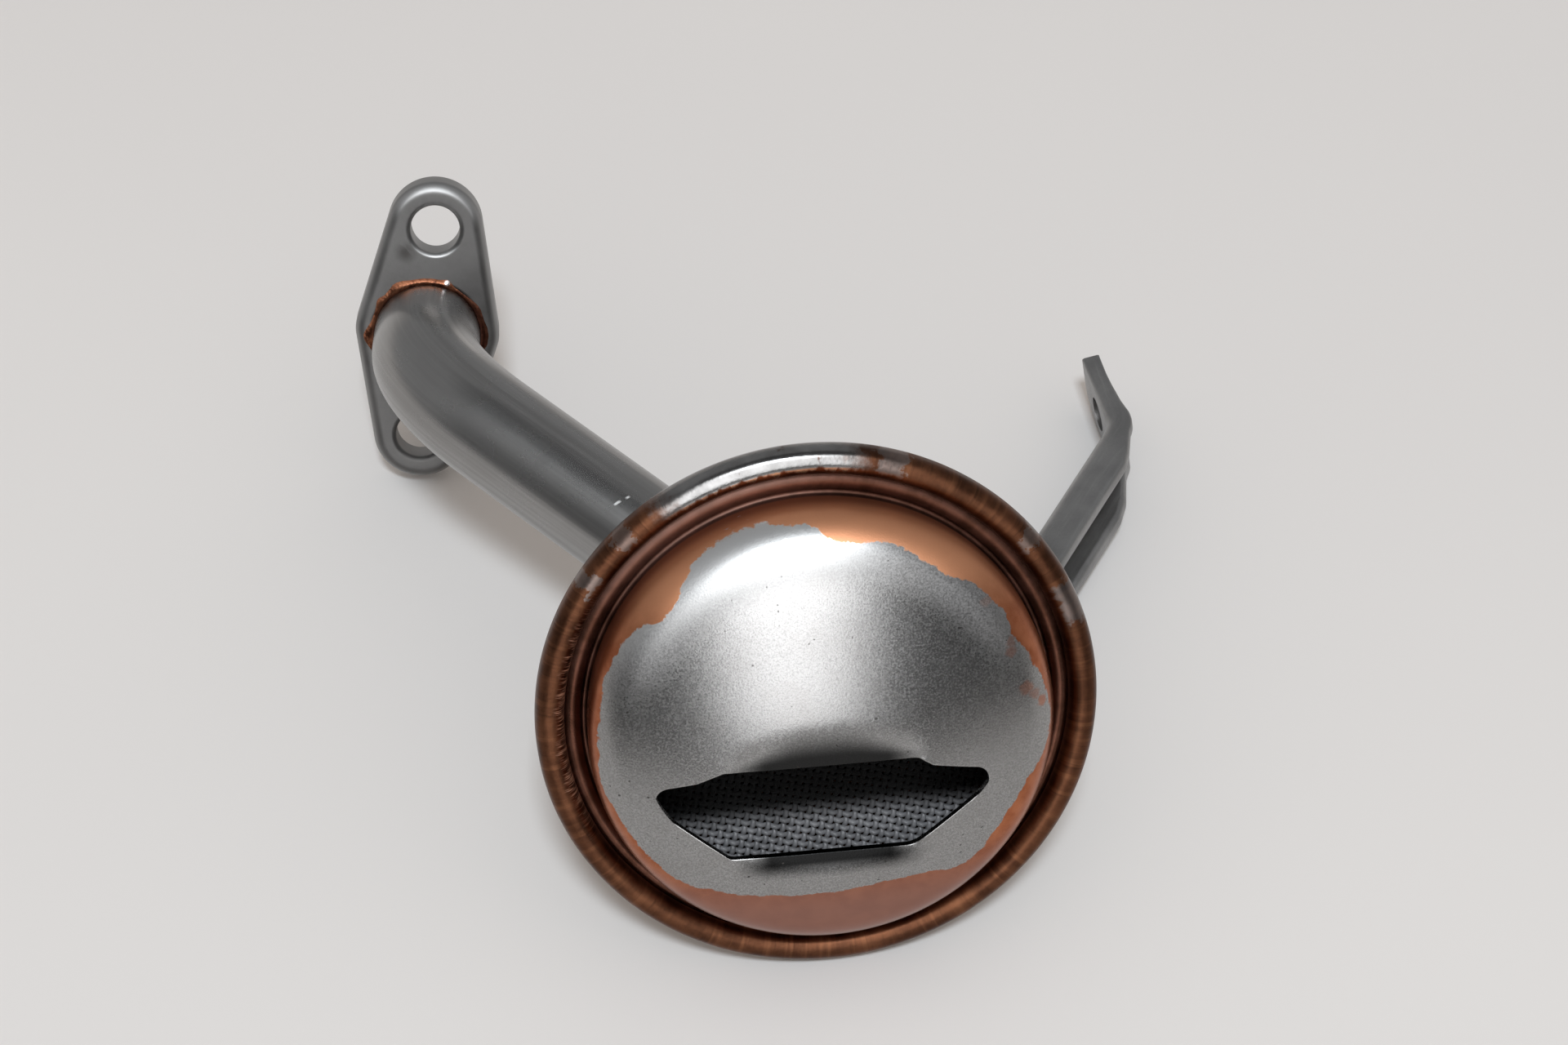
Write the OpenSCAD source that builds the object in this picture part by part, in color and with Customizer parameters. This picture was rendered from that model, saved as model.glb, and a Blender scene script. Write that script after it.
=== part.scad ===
// Oil pickup tube: a bolted flange, a bent suction tube, a round strainer with a
// pressed inlet cap and a support bracket, brazed together as one rigid part.
// Millimetres. The part lies as it comes to rest on a level surface at z = 0.
// Strainer pieces are drawn in the strainer's own frame: z runs out of the inlet
// cap along its axis, z = 0 is the middle of the rolled rim.

/* [Strainer] */
// outside diameter of the rolled rim
rim_d = 88; // [76:1:110]
// diameter of the roll that closes the rim
roll_d = 5.8; // [5.4:0.1:7]
// width of the flat ring and groove between the roll and the dome
ring_w = 2.2; // [1.6:0.1:4]
// sheet thickness of the housing
housing_t = 1.5; // [1.2:0.1:2]
// width of the flat seat from the dome's wall to the funnel
seat_w = 2.4; // [1.8:0.1:2.8]
// sheet thickness of the cap
cap_t = 1.2; // [0.9:0.1:1.4]
// thickness of the wire screen
screen_t = 0.8; // [0.5:0.1:1]
// depth of the rounded tip's centre behind the rim
bell_depth = 21.7; // [18:0.1:28]
// outside radius of the housing's rounded tip
bell_r = 15; // [14:0.1:18]

/* [Inlet cap] */
// height of the dome's straight side above the rim's middle
side_h = 5.6; // [3:0.1:8]
// radius of the knuckle between side and crown
knuckle_r = 7; // [4:0.1:10]
// rise of the crown above the knuckle
crown_rise = 4.9; // [3:0.1:8]
// length of the inlet slot
slot_w = 51; // [40:0.5:54]
// height of the inlet slot
slot_h = 15.2; // [10:0.1:18]
// distance of the slot's upper edge below the dome's middle
slot_drop = 1.8; // [0:0.1:4]
// sideways shift of the slot
slot_shift = -1.3; // [-3:0.1:3]
// length of the slot's straight middle edges
lip_w = 30; // [22:0.5:34]
// radius of the slot's round ends
slot_end_r = 2.2; // [1.6:0.1:2.8]
// height of the round ends' middle below the slot's upper edge
slot_end_drop = 5.4; // [5:0.1:6.5]
// step from the upper edge down to the sloping ends
slot_step = 1.4; // [1:0.1:2]
// radius of the slot's lower corners
slot_corner_r = 2; // [1:0.1:3]
// how far the upper pressed face reaches from the slot
upper_lip = 4.4; // [3:0.1:7]
// how far the lower pressed face reaches from the slot
lower_lip = 3; // [2:0.1:5]

/* [Screen] */
// spacing of the screen's openings
screen_pitch = 5.6; // [5.5:0.1:9]
// width of the screen's openings
screen_gap = 3.8; // [2.5:0.1:4.5]

/* [Tube] */
// outside diameter of the tube
tube_od = 19; // [16:0.1:21]
// wall thickness of the tube
tube_wall = 1.5; // [1:0.1:2]
// centreline radius of the bend
bend_r = 28.5; // [24:0.5:36]
// distance from the flange's face to the corner of the bend
corner_l = 26.4; // [24:0.1:32]
// sideways distance from the strainer's axis to the flange's centre
reach = 69.9; // [60:0.1:85]
// distance from the rim's middle back to the flange's face
flange_back = 93; // [84:0.1:110]
// direction of the flange's centre round the strainer's axis
reach_turn = 147.4; // [130:0.1:165]

/* [Flange] */
// distance between the two bolt holes
bolt_spacing = 39; // [37:0.1:50]
// diameter of the bolt holes
bolt_d = 9; // [6.6:0.1:9.4]
// radius of the flange's two ends
flange_end_r = 8.5; // [8:0.1:11]
// width of the flange across its middle
flange_w = 26; // [25:0.1:34]
// radius of the flange's middle corners
flange_mid_r = 7; // [5:0.1:10]
// thickness of the flange
flange_t = 6; // [4:0.1:8]
// turn of the flange's long axis about its own normal
flange_turn = 10; // [0:0.1:20]
// radial gap that the braze fills round the tube
braze_gap = 0.1; // [0.05:0.05:0.2]
// leg of the braze fillet at the flange
fillet_l = 2; // [1.2:0.1:2.6]

/* [Bracket] */
// sheet thickness of the bracket
strap_t = 3.2; // [2.4:0.1:4]
// height of the bracket's channel
strap_h = 13; // [11:0.1:18]
// width of the channel's two edge flanges
strap_flange_w = 8; // [6:0.1:11]
// length of the channel from the bend to the housing
strap_l = 86; // [84:0.5:92]
// length of the foot under the housing
foot_l = 26; // [22:0.5:30]
// how far the foot laps over the channel
foot_lap = 8; // [6:0.5:12]
// length along which the lower edge runs out before the bend
lower_run = 13; // [10:0.5:18]
// length along which the upper edge narrows before the bend
upper_run = 8; // [6:0.5:12]
// length along which the upper edge fades out on the tab
upper_fade = 11; // [8:0.5:14]
// length of the bolting tab beyond the bend
tab_l = 17.6; // [16:0.1:24]
// angle between the channel and the tab
tab_turn = 40; // [30:1:60]
// diameter of the tab's bolt hole
tab_hole_d = 6.6; // [5.5:0.1:7]
// distance from the bend to the tab's bolt hole
tab_hole_l = 8.6; // [8:0.1:12]
// thickness of the braze under the bracket's foot
pad_braze_t = 0.3; // [0.2:0.1:0.5]

/* [Hidden] */
$fn = 96;
rest_lean = 28.7;
rest_shift = [1.59, -46.2];
strap_turn = 53.8;
strap_lean = 12;
strap_at = [65.4, 74.9];
tab_r = strap_h / 2;
// how far the leaning tab's lowest point would reach below the channel
tab_low = atan(sin(tab_turn) * tan(strap_lean));
strap_rise = (tab_l - tab_r * (1 - sin(tab_low))) * sin(tab_turn) * sin(strap_lean)
  - tab_r * (1 - cos(tab_low)) * cos(strap_lean);
rim_r = rim_d / 2;
roll_r = roll_d / 2;
axis_z = roll_r + (rim_r - roll_r) * cos(rest_lean);
cap_r = rim_r - housing_t;
ring_z = cap_t / 2;
seat_z = -cap_t / 2 - screen_t;
groove_r = 0.5;
dome_r = rim_r - roll_d - ring_w;
crown_a = dome_r - knuckle_r;
crown_d = knuckle_r + crown_rise;
crown_r = (crown_a * crown_a + crown_d * crown_d - knuckle_r * knuckle_r) / (2 * crown_rise);
dome_top = side_h + crown_d;
crown_z = dome_top - crown_r;
knuckle_end = atan2(side_h - crown_z, crown_a);
bore_r = tube_od / 2 - tube_wall;
drop = flange_back - bell_depth - corner_l;
bend_turn = atan2(reach, drop);
bend_tan = bend_r * tan(bend_turn / 2);
stub_l = corner_l - bend_tan;
run_l = norm([reach, drop]) - bend_tan;
tube_in = 8;
tube_recess = 0.5;
// the bend is a little fuller than the straight lengths that run into it
bend_swell = 0.08;
bend_lap = 0.6;
cone_edge = [dome_r + seat_w, -roll_r];
cone_d = norm([cone_edge[0], cone_edge[1] + bell_depth]);
cone_n = atan2(cone_edge[1] + bell_depth, cone_edge[0]) - acos(bell_r / cone_d);
// reach of the braze collar from the ball's middle, its depth inside and its width
collar_l = 4.4;
collar_in = 5;
collar_w = 2.2;
// column that the bracket's foot is taken from
foot_inset = 0.4;
foot_low = 4;
foot_h = 26;
foot_braze_w = 1.5;
eps = 0.01;

function arc(c, r, a0, a1, n) =
  [for (i = [0:n]) c + r * [cos(a0 + (a1 - a0) * i / n), sin(a0 + (a1 - a0) * i / n)]];

// round corner of radius r at b, on the way from a to c
function corner(a, b, c, r, n) =
  let (
    u = (a - b) / norm(a - b),
    v = (c - b) / norm(c - b),
    half = acos(u * v) / 2,
    mid = b + (u + v) / norm(u + v) * r / sin(half),
    from = b + u * r / tan(half) - mid,
    to = b + v * r / tan(half) - mid
  )
  [for (i = [0:n]) let (w = from * (1 - i / n) + to * i / n) mid + w / norm(w) * r];

// radius of the housing's cone at height z, moved out by d
function cone_at(z, d) = (bell_r + d - (z + bell_depth) * sin(cone_n)) / cos(cone_n);

// the strainer's frame, laid down at rest
module lay() {
  translate([rest_shift[0], rest_shift[1], axis_z])
    rotate([90 - rest_lean, 0, 0])
      children();
}

// the flange's frame: z out of the face that the tube leaves, x toward the strainer
module at_flange() {
  rotate([0, 0, reach_turn])
    translate([reach, 0, -flange_back])
      rotate([0, 0, 180])
        children();
}

// the frame of the tube's straight run, z from the strainer's axis to the bend
module at_run() {
  rotate([0, 0, reach_turn])
    translate([0, 0, -bell_depth])
      rotate([0, 180 - bend_turn, 0])
        children();
}

// the bracket's frame: x along the channel to the bend, y toward its plain side
module at_strap() {
  translate([strap_at[0] + rest_shift[0], strap_at[1] + rest_shift[1], strap_rise])
    rotate([0, 0, strap_turn])
      rotate([-strap_lean, 0, 0])
        children();
}

// outline of the housing's outside, moved out by d, closed to the axis
module bell_shape(d) {
  polygon(concat(
    arc([0, -bell_depth], bell_r + d, -90, cone_n, 16),
    [[cone_at(-roll_r, d), -roll_r], [cone_at(-roll_r, d), seat_z], [0, seat_z]]
  ));
}

module bell_solid(d) {
  rotate_extrude() bell_shape(d);
}

module housing_section() {
  difference() {
    union() {
      translate([rim_r - roll_r, 0]) circle(r = roll_r);
      translate([cone_at(-roll_r, 0) - 1, -roll_r])
        square([rim_r - roll_r - cone_at(-roll_r, 0) + 1, seat_z + roll_r]);
      polygon(concat(
        arc([0, -bell_depth], bell_r, -90, cone_n, 16),
        [[cone_at(-roll_r, 0), -roll_r], [cone_at(-roll_r, 0), seat_z]],
        [[cone_at(seat_z, -housing_t), seat_z]],
        arc([0, -bell_depth], bell_r - housing_t, cone_n, -90, 16)
      ));
    }
    translate([0, seat_z]) square([cap_r, ring_z - seat_z]);
  }
}

module housing() {
  lay() difference() {
    rotate_extrude() housing_section();
    at_run() cylinder(r = tube_od / 2 + braze_gap, h = run_l);
  }
}

module screen() {
  n = floor((dome_r - 3) / screen_pitch);
  lay() translate([0, 0, seat_z]) linear_extrude(screen_t) difference() {
    circle(r = cap_r);
    for (i = [-n:n])
      for (j = [-n:n])
        if (norm([i, j]) * screen_pitch + screen_gap * 0.71 < dome_r - cap_t)
          translate([i * screen_pitch, j * screen_pitch])
            square(screen_gap, center = true);
  }
}

// the dome's outline inside its sheet by d, closed to the axis
function dome_line(d) = concat(
  arc([crown_a, side_h], knuckle_r - d, 0, knuckle_end, 12),
  arc([0, crown_z], crown_r - d, knuckle_end, 90, 14)
);

// height of the crown at distance y from its middle
function crown_at(y) = crown_z + sqrt(crown_r * crown_r - y * y);

module cap_outside() {
  rotate_extrude() polygon(concat(
    [[0, -ring_z], [cap_r, -ring_z], [cap_r, ring_z]],
    arc([dome_r + groove_r, ring_z], groove_r, 0, -180, 8),
    dome_line(0)
  ));
}

module cap_inside() {
  rotate_extrude() polygon(concat(
    [[0, -ring_z - 1], [dome_r - cap_t, -ring_z - 1]],
    dome_line(cap_t)
  ));
}

// outline of the inlet slot seen along the dome's axis
module slot_shape() {
  e = slot_w / 2;
  b = lip_w / 2;
  right = arc([e - slot_end_r, -slot_end_drop], slot_end_r, 80, -40, 8);
  left = arc([-e + slot_end_r, -slot_end_drop], slot_end_r, 220, 100, 8);
  low_right = [b, -slot_h];
  low_left = [-b, -slot_h];
  translate([slot_shift, -slot_drop]) polygon(concat(
    [[-b, 0], [b, 0], [b + slot_step, -slot_step]],
    right,
    corner(right[8], low_right, low_left, slot_corner_r, 5),
    corner(low_right, low_left, left[0], slot_corner_r, 5),
    left,
    [[-b - slot_step, -slot_step]]
  ));
}

// what the press takes off the dome beside one long edge of the slot, d below the face
module press(y_edge, reach_y, d) {
  edge_z = crown_at(norm([y_edge, lip_w / 2]));
  tilt = atan2(crown_at(y_edge + reach_y) - edge_z, abs(reach_y));
  translate([slot_shift, y_edge, edge_z])
    mirror([0, reach_y > 0 ? 0 : 1, 0])
      rotate([tilt, 0, 0])
        translate([-dome_r, -eps, -d])
          cube([2 * dome_r, dome_r, dome_r]);
}

module presses(d) {
  press(-slot_drop, upper_lip, d);
  press(-slot_drop - slot_h, -lower_lip, d);
}

module cap() {
  lay() difference() {
    cap_outside();
    presses(0);
    difference() {
      cap_inside();
      presses(cap_t);
    }
    linear_extrude(dome_top + 2) slot_shape();
  }
}

// the tube's path filled to radius r, with both ends drawn longer by more
module tube_path(r, more) {
  l0 = flange_t - tube_recess + more;
  translate([0, 0, -l0]) cylinder(r = r, h = l0 + stub_l + bend_lap);
  translate([bend_r, 0, stub_l])
    rotate([90, 0, 180])
      rotate_extrude(angle = bend_turn)
        translate([bend_r, 0]) circle(r = r + bend_swell);
  translate([bend_r, 0, stub_l])
    rotate([0, bend_turn, 0])
      translate([-bend_r, 0, -bend_lap])
        cylinder(r = r, h = run_l - tube_in + bend_lap + more);
}

module tube() {
  lay() at_flange() difference() {
    tube_path(tube_od / 2, 0);
    tube_path(bore_r, 1);
  }
}

// tangent outline round two ends and two middle corners
module flange_shape() {
  h = bolt_spacing / 2;
  m = flange_w / 2 - flange_mid_r;
  a = atan2(m, h) + asin((flange_mid_r - flange_end_r) / norm([m, h]));
  polygon(concat(
    arc([m, 0], flange_mid_r, -a, a, 8),
    arc([0, h], flange_end_r, a, 180 - a, 24),
    arc([-m, 0], flange_mid_r, 180 - a, 180 + a, 8),
    arc([0, -h], flange_end_r, 180 + a, 360 - a, 24)
  ));
}

module flange() {
  lay() at_flange() rotate([0, 0, 180 - reach_turn - flange_turn]) translate([0, 0, -flange_t])
    difference() {
      linear_extrude(flange_t) flange_shape();
      translate([0, 0, -1]) cylinder(r = tube_od / 2 + braze_gap, h = flange_t + 2);
      for (s = [-1, 1])
        translate([0, s * bolt_spacing / 2, -1]) cylinder(d = bolt_d, h = flange_t + 2);
    }
}

module flange_fillet() {
  r = tube_od / 2;
  lay() at_flange() rotate_extrude()
    polygon([[r, 0], [r + fillet_l, 0], [r + fillet_l * 0.42, fillet_l * 0.4], [r, fillet_l]]);
}

module housing_fillet() {
  r = tube_od / 2;
  s = bell_r + collar_l;
  lay() difference() {
    at_run() rotate_extrude()
      polygon([
        [r, bell_r - collar_in], [r + collar_w, bell_r - collar_in], [r + collar_w, s - 0.9 * collar_w],
        [r + 0.41 * collar_w, s - 0.45 * collar_w], [r, s]
      ]);
    bell_solid(0);
  }
}

// plan of the channel's upper edge flange, which narrows round the bend into the tab
module upper_plan() {
  u = [cos(tab_turn), sin(tab_turn)];
  v = [sin(tab_turn), -cos(tab_turn)];
  w = strap_flange_w - strap_t;
  polygon([
    [-strap_l, 0], [-0.3 * strap_t, 0], strap_t / 2 * v, upper_fade * u + strap_t / 2 * v,
    upper_fade * u + (strap_t + 0.04 * w) * v, 0.36 * upper_fade * u + (strap_t + 0.12 * w) * v,
    [0.1 * upper_run, -strap_t - 0.25 * w], [-0.3 * upper_run, -strap_t - 0.56 * w],
    [-upper_run, -strap_flange_w], [-strap_l, -strap_flange_w]
  ]);
}

// plan of the lower edge flange, which runs out before the bend
module lower_plan() {
  w = strap_flange_w - strap_t;
  polygon([
    [-strap_l, 0], [-0.3 * strap_t, 0], [-0.2 * strap_t, -strap_t / 2],
    [-0.27 * lower_run, -strap_t - 0.3 * w], [-0.7 * lower_run, -strap_t - 0.8 * w],
    [-lower_run, -strap_flange_w], [-strap_l, -strap_flange_w]
  ]);
}

// plan of the upright web, bent into the tab
module web_plan() {
  u = [cos(tab_turn), sin(tab_turn)];
  v = [sin(tab_turn), -cos(tab_turn)];
  polygon([
    [-strap_l, 0], [0, 0], tab_l * u, tab_l * u + strap_t * v,
    [strap_t * tan(tab_turn / 2), -strap_t], [-strap_l, -strap_t]
  ]);
}

// what is cut from the tab, seen square on: its bolt hole and its lower outer corner
module tab_cuts() {
  translate([tab_hole_l, strap_h / 2]) circle(d = tab_hole_d);
  difference() {
    translate([tab_l - tab_r, -1]) square([tab_r + 1, tab_r + 1]);
    translate([tab_l - tab_r, tab_r]) circle(r = tab_r + 0.1);
  }
}

module channel() {
  difference() {
    union() {
      translate([0, 0, strap_h - strap_t]) linear_extrude(strap_t) upper_plan();
      linear_extrude(strap_t) lower_plan();
      linear_extrude(strap_h) web_plan();
    }
    rotate([0, 0, tab_turn])
      rotate([90, 0, 0])
        translate([0, 0, -1])
          linear_extrude(strap_t + 4) tab_cuts();
  }
}

// the column above the channel's end that the foot is taken from
module foot_column(grow) {
  at_strap()
    translate([-strap_l - foot_l + foot_lap - grow, -strap_flange_w + foot_inset - grow, foot_low])
      cube([foot_l + 2 * grow, strap_flange_w - 2 * foot_inset + 2 * grow, foot_h]);
}

module bracket() {
  difference() {
    at_strap() channel();
    lay() bell_solid(pad_braze_t);
  }
  intersection() {
    foot_column(0);
    lay() difference() {
      bell_solid(pad_braze_t + strap_t);
      bell_solid(pad_braze_t);
    }
  }
}

module foot_braze() {
  intersection() {
    foot_column(foot_braze_w);
    lay() difference() {
      bell_solid(pad_braze_t);
      bell_solid(0);
    }
  }
}

module mounting_flange() {
  color([0.45, 0.44, 0.43]) flange();
}

module pickup_tube() {
  color([0.47, 0.46, 0.45]) tube();
}

module strainer_housing() {
  color([0.42, 0.22, 0.12]) housing();
}

module strainer_screen() {
  color([0.25, 0.25, 0.26]) screen();
}

module strainer_cap() {
  color([0.66, 0.63, 0.6]) cap();
}

module support_bracket() {
  color([0.43, 0.42, 0.42]) bracket();
}

module flange_braze() {
  color([0.5, 0.26, 0.15]) flange_fillet();
}

module housing_braze() {
  color([0.5, 0.26, 0.15]) housing_fillet();
}

module bracket_braze() {
  color([0.5, 0.26, 0.15]) foot_braze();
}

mounting_flange();
pickup_tube();
strainer_housing();
strainer_screen();
strainer_cap();
support_bracket();
flange_braze();
housing_braze();
bracket_braze();
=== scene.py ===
"""Looks of the oil pickup tube: smooth pressed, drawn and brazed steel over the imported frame."""

import math
from functools import reduce

import bmesh
import bpy
import numpy as np
from mathutils import Euler, Matrix, Vector
from mathutils.geometry import delaunay_2d_cdt


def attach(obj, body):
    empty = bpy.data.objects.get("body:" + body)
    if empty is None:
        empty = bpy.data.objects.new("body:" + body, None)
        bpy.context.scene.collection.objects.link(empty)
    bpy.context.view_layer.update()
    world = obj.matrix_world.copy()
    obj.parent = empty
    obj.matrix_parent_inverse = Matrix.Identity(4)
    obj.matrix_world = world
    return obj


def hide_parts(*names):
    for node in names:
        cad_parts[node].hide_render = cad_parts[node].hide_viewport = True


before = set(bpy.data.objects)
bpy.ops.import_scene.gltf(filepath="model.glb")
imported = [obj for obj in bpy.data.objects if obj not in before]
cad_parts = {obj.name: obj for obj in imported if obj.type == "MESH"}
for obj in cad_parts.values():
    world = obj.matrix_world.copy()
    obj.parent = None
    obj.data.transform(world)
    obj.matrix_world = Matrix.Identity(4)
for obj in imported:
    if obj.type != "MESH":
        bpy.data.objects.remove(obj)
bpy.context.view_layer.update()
scene = bpy.context.scene

# Metres in a millimetre
MM = 0.001

# Sizes of the part's source, in millimetres and degrees: strainer
RIM_R, ROLL_R = 44.0, 2.9
HOUSING_T, CAP_T, SCREEN_T = 1.5, 1.2, 0.8
BELL_DEPTH, BELL_R, CONE_OUT = 21.7, 15.0, 2.4
DOME_R, SIDE_H, KNUCKLE_R, CROWN_RISE = 36.0, 5.6, 7.0, 4.9
GROOVE_R = 0.5
SLOT_DROP, SLOT_H, LIP_W = 1.8, 15.2, 30.0
UPPER_LIP, LOWER_LIP = 4.4, 3.0

# Tube and flange
TUBE_R, TUBE_WALL, BEND_R, TUBE_GAP = 9.5, 1.5, 28.5, 0.1
CORNER_L, REACH, FLANGE_BACK, REACH_TURN = 26.4, 69.9, 93.0, 147.4
BOLT_SPACING, BOLT_R = 39.0, 4.5
FLANGE_END_R, FLANGE_W, FLANGE_MID_R, FLANGE_T, FLANGE_TURN = 8.5, 26.0, 7.0, 6.0, 10.0

# Bracket
STRAP_T, STRAP_H, STRAP_W, STRAP_L = 3.2, 13.0, 8.0, 86.0
TAB_L, TAB_TURN, TAB_HOLE_R, TAB_HOLE_L = 17.6, 40.0, 3.3, 8.6
PAD_BRAZE = 0.3

# How the part lies on the table
REST_LEAN, STRAP_TURN, STRAP_LEAN = 28.7, 53.8, 12.0
REST_SHIFT = np.array([1.59, -46.2])
STRAP_AT = np.array([65.4, 74.9])

# What follows from these
RING_Z = CAP_T / 2
SEAT_Z = -CAP_T / 2 - SCREEN_T
CAP_R = RIM_R - HOUSING_T
CROWN_A = DOME_R - KNUCKLE_R
CROWN_D = KNUCKLE_R + CROWN_RISE
CROWN_R = (CROWN_A**2 + CROWN_D**2 - KNUCKLE_R**2) / (2 * CROWN_RISE)
CROWN_Z = SIDE_H + CROWN_D - CROWN_R
KNUCKLE_END = math.degrees(math.atan2(SIDE_H - CROWN_Z, CROWN_A))
EDGE_R, EDGE_UP = DOME_R + CONE_OUT, BELL_DEPTH - ROLL_R
CONE_N = math.atan2(EDGE_UP, EDGE_R) - math.acos(BELL_R / math.hypot(EDGE_R, EDGE_UP))
DROP = FLANGE_BACK - BELL_DEPTH - CORNER_L
BEND = math.atan2(REACH, DROP)
BEND_TAN = BEND_R * math.tan(BEND / 2)
STUB_L = CORNER_L - BEND_TAN
RUN_L = math.hypot(REACH, DROP) - BEND_TAN
TURN, LEAN, TIP_R = math.radians(TAB_TURN), math.radians(STRAP_LEAN), STRAP_H / 2
TAB_LOW = math.atan(math.sin(TURN) * math.tan(LEAN))
TAB_RISE = (TAB_L - TIP_R * (1 - math.sin(TAB_LOW))) * math.sin(TURN) * math.sin(LEAN)
STRAP_RISE = TAB_RISE - TIP_R * (1 - math.cos(TAB_LOW)) * math.cos(LEAN)
AXIS_Z = ROLL_R + (RIM_R - ROLL_R) * math.cos(math.radians(REST_LEAN))


# Frames
def rot(axis, deg):
    """Turn about an axis as a 3 by 3 array."""
    return np.array(Matrix.Rotation(math.radians(deg), 3, axis))


def mover(turn, at):
    """A call that takes points out of a turned and shifted frame."""

    def move(p):
        return np.asarray(p) @ turn.T + at

    return move


LAY_R, LAY_T = rot("X", 90 - REST_LEAN), np.array([*REST_SHIFT, AXIS_Z])
REACH_R, STRAP_R = rot("Z", REACH_TURN), rot("Z", STRAP_TURN) @ rot("X", -STRAP_LEAN)
lay = mover(LAY_R, LAY_T)
from_flange = mover(REACH_R @ rot("Z", 180), REACH_R @ np.array([REACH, 0, -FLANGE_BACK]))
from_run = mover(REACH_R @ rot("Y", 180 - math.degrees(BEND)), np.array([0, 0, -BELL_DEPTH]))
from_strap = mover(STRAP_R, np.array([*(STRAP_AT + REST_SHIFT), STRAP_RISE]))


def unlay(p):
    """Points on the table in the strainer's own frame."""
    return (np.asarray(p) - LAY_T) @ LAY_R


# Points and outlines
def turns(n):
    """Angles of n even steps round a circle."""
    return np.linspace(0, 2 * math.pi, n, endpoint=False)


def hoop(r, a, z):
    """Ring round the z axis, whose radius and height may change with the angle."""
    return np.stack([r * np.cos(a), r * np.sin(a), np.broadcast_to(z, a.shape)], 1)


def revolve(profile, a):
    """Rings round the z axis, one for each (r, z) of the profile."""
    return [hoop(r, a, z) for r, z in profile]


def arc(c, r, a0, a1, n):
    """Points of n steps along an arc, from angle to angle in degrees."""
    a = np.radians(np.linspace(a0, a1, n + 1))
    return np.stack([c[0] + r * np.cos(a), c[1] + r * np.sin(a)], 1)


def unit(v):
    return v / np.linalg.norm(v)


def rounded(points, radii, n=13):
    """Closed outline through corner points, each corner a true arc of its radius."""
    pts = np.asarray(points, float)
    out = []
    for p, before, after, r in zip(pts, np.roll(pts, 1, 0), np.roll(pts, -1, 0), radii):
        u, v = unit(before - p), unit(after - p)
        half = math.acos(u @ v) / 2
        mid = p + unit(u + v) * r / math.sin(half)
        p0, p1 = p + u * r / math.tan(half) - mid, p + v * r / math.tan(half) - mid
        out += [mid + unit(p0 * (1 - w) + p1 * w) * r for w in np.linspace(0, 1, n)]
    return np.array(out)


def resample(loop, n):
    """A closed outline as n points at even steps."""
    closed = np.vstack([loop, loop[:1]])
    d = np.concatenate([[0], np.cumsum(np.linalg.norm(np.diff(closed, axis=0), axis=1))])
    t = np.linspace(0, d[-1], n, endpoint=False)
    return np.stack([np.interp(t, d, closed[:, k]) for k in (0, 1)], 1)


def wobble(n, terms, seed):
    """Smooth closed random curve of n values, about -1 to 1."""
    g = np.random.default_rng(seed)
    a = turns(n)
    out = np.zeros(n)
    for k in range(1, terms + 1):
        out += g.normal() * np.cos(k * a + g.uniform(0, 2 * math.pi)) / math.sqrt(k)
    return out / np.abs(out).max()


# Meshes
def band(a, b, n):
    """Quads between two rings of n points that start at indices a and b."""
    return [(a + i, a + (i + 1) % n, b + (i + 1) % n, b + i) for i in range(n)]


def loft(rings, close_ends=False, loop=False):
    """Points and quads through a list of rings with the same number of points."""
    n, k = len(rings[0]), len(rings)
    faces = []
    for i in range(k if loop else k - 1):
        faces += band(i * n, ((i + 1) % k) * n, n)
    if close_ends:
        faces.append(tuple(range(n)))
        faces.append(tuple((k - 1) * n + i for i in range(n)))
    return np.concatenate(rings), faces


def mesh_of(name, pts, faces, attrs=None, merge=None):
    """Closed mesh in metres from points in millimetres, with its faces turned outward."""
    me = bpy.data.meshes.new(name)
    me.from_pydata((np.asarray(pts) * MM).tolist(), [], [list(f) for f in faces])
    for key, val in (attrs or {}).items():
        a = me.attributes.new(key, "FLOAT_VECTOR", "POINT")
        a.data.foreach_set("vector", np.asarray(val, np.float32).ravel())
    bm = bmesh.new()
    bm.from_mesh(me)
    if merge:
        bmesh.ops.remove_doubles(bm, verts=bm.verts, dist=merge * MM)
        loose = [e for e in bm.edges if not e.link_faces]
        bmesh.ops.delete(bm, geom=loose, context="EDGES")
    bmesh.ops.recalc_face_normals(bm, faces=bm.faces)
    if bm.calc_volume(signed=True) < 0:
        bmesh.ops.reverse_faces(bm, faces=bm.faces)
    bm.to_mesh(me)
    bm.free()
    return me


def add_object(name, data):
    obj = bpy.data.objects.new(name, data)
    scene.collection.objects.link(obj)
    return obj


def shade(me, sharp):
    """Smooth shading, broken where faces meet at more than an angle in degrees."""
    me.polygons.foreach_set("use_smooth", [True] * len(me.polygons))
    if sharp:
        me.set_sharp_from_angle(angle=math.radians(sharp))


def piece(name, node, slot, pts, faces, attrs, sharp=None, merge=None):
    """A piece from points in millimetres that stands for a CAD node and has its slot's material."""
    me = mesh_of(name, pts, faces, attrs, merge)
    shade(me, sharp)
    obj = add_object(name, me)
    me.materials.append(LOOKS[slot])
    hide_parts(node)
    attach(obj, "root")
    return obj


def cut(obj, pts, faces):
    """Takes a closed helper solid out of a piece and applies the result."""
    me = mesh_of("helper", pts, faces)
    helper = add_object("helper", me)
    mod = obj.modifiers.new("cut", "BOOLEAN")
    mod.operation = "DIFFERENCE"
    mod.solver = "EXACT"
    mod.object = helper
    bpy.context.view_layer.update()
    deps = bpy.context.evaluated_depsgraph_get()
    new = bpy.data.meshes.new_from_object(obj.evaluated_get(deps))
    obj.modifiers.remove(mod)
    old, obj.data = obj.data, new
    new.name = old.name
    bpy.data.objects.remove(helper)
    for spare in (old, me):
        bpy.data.meshes.remove(spare)


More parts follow.
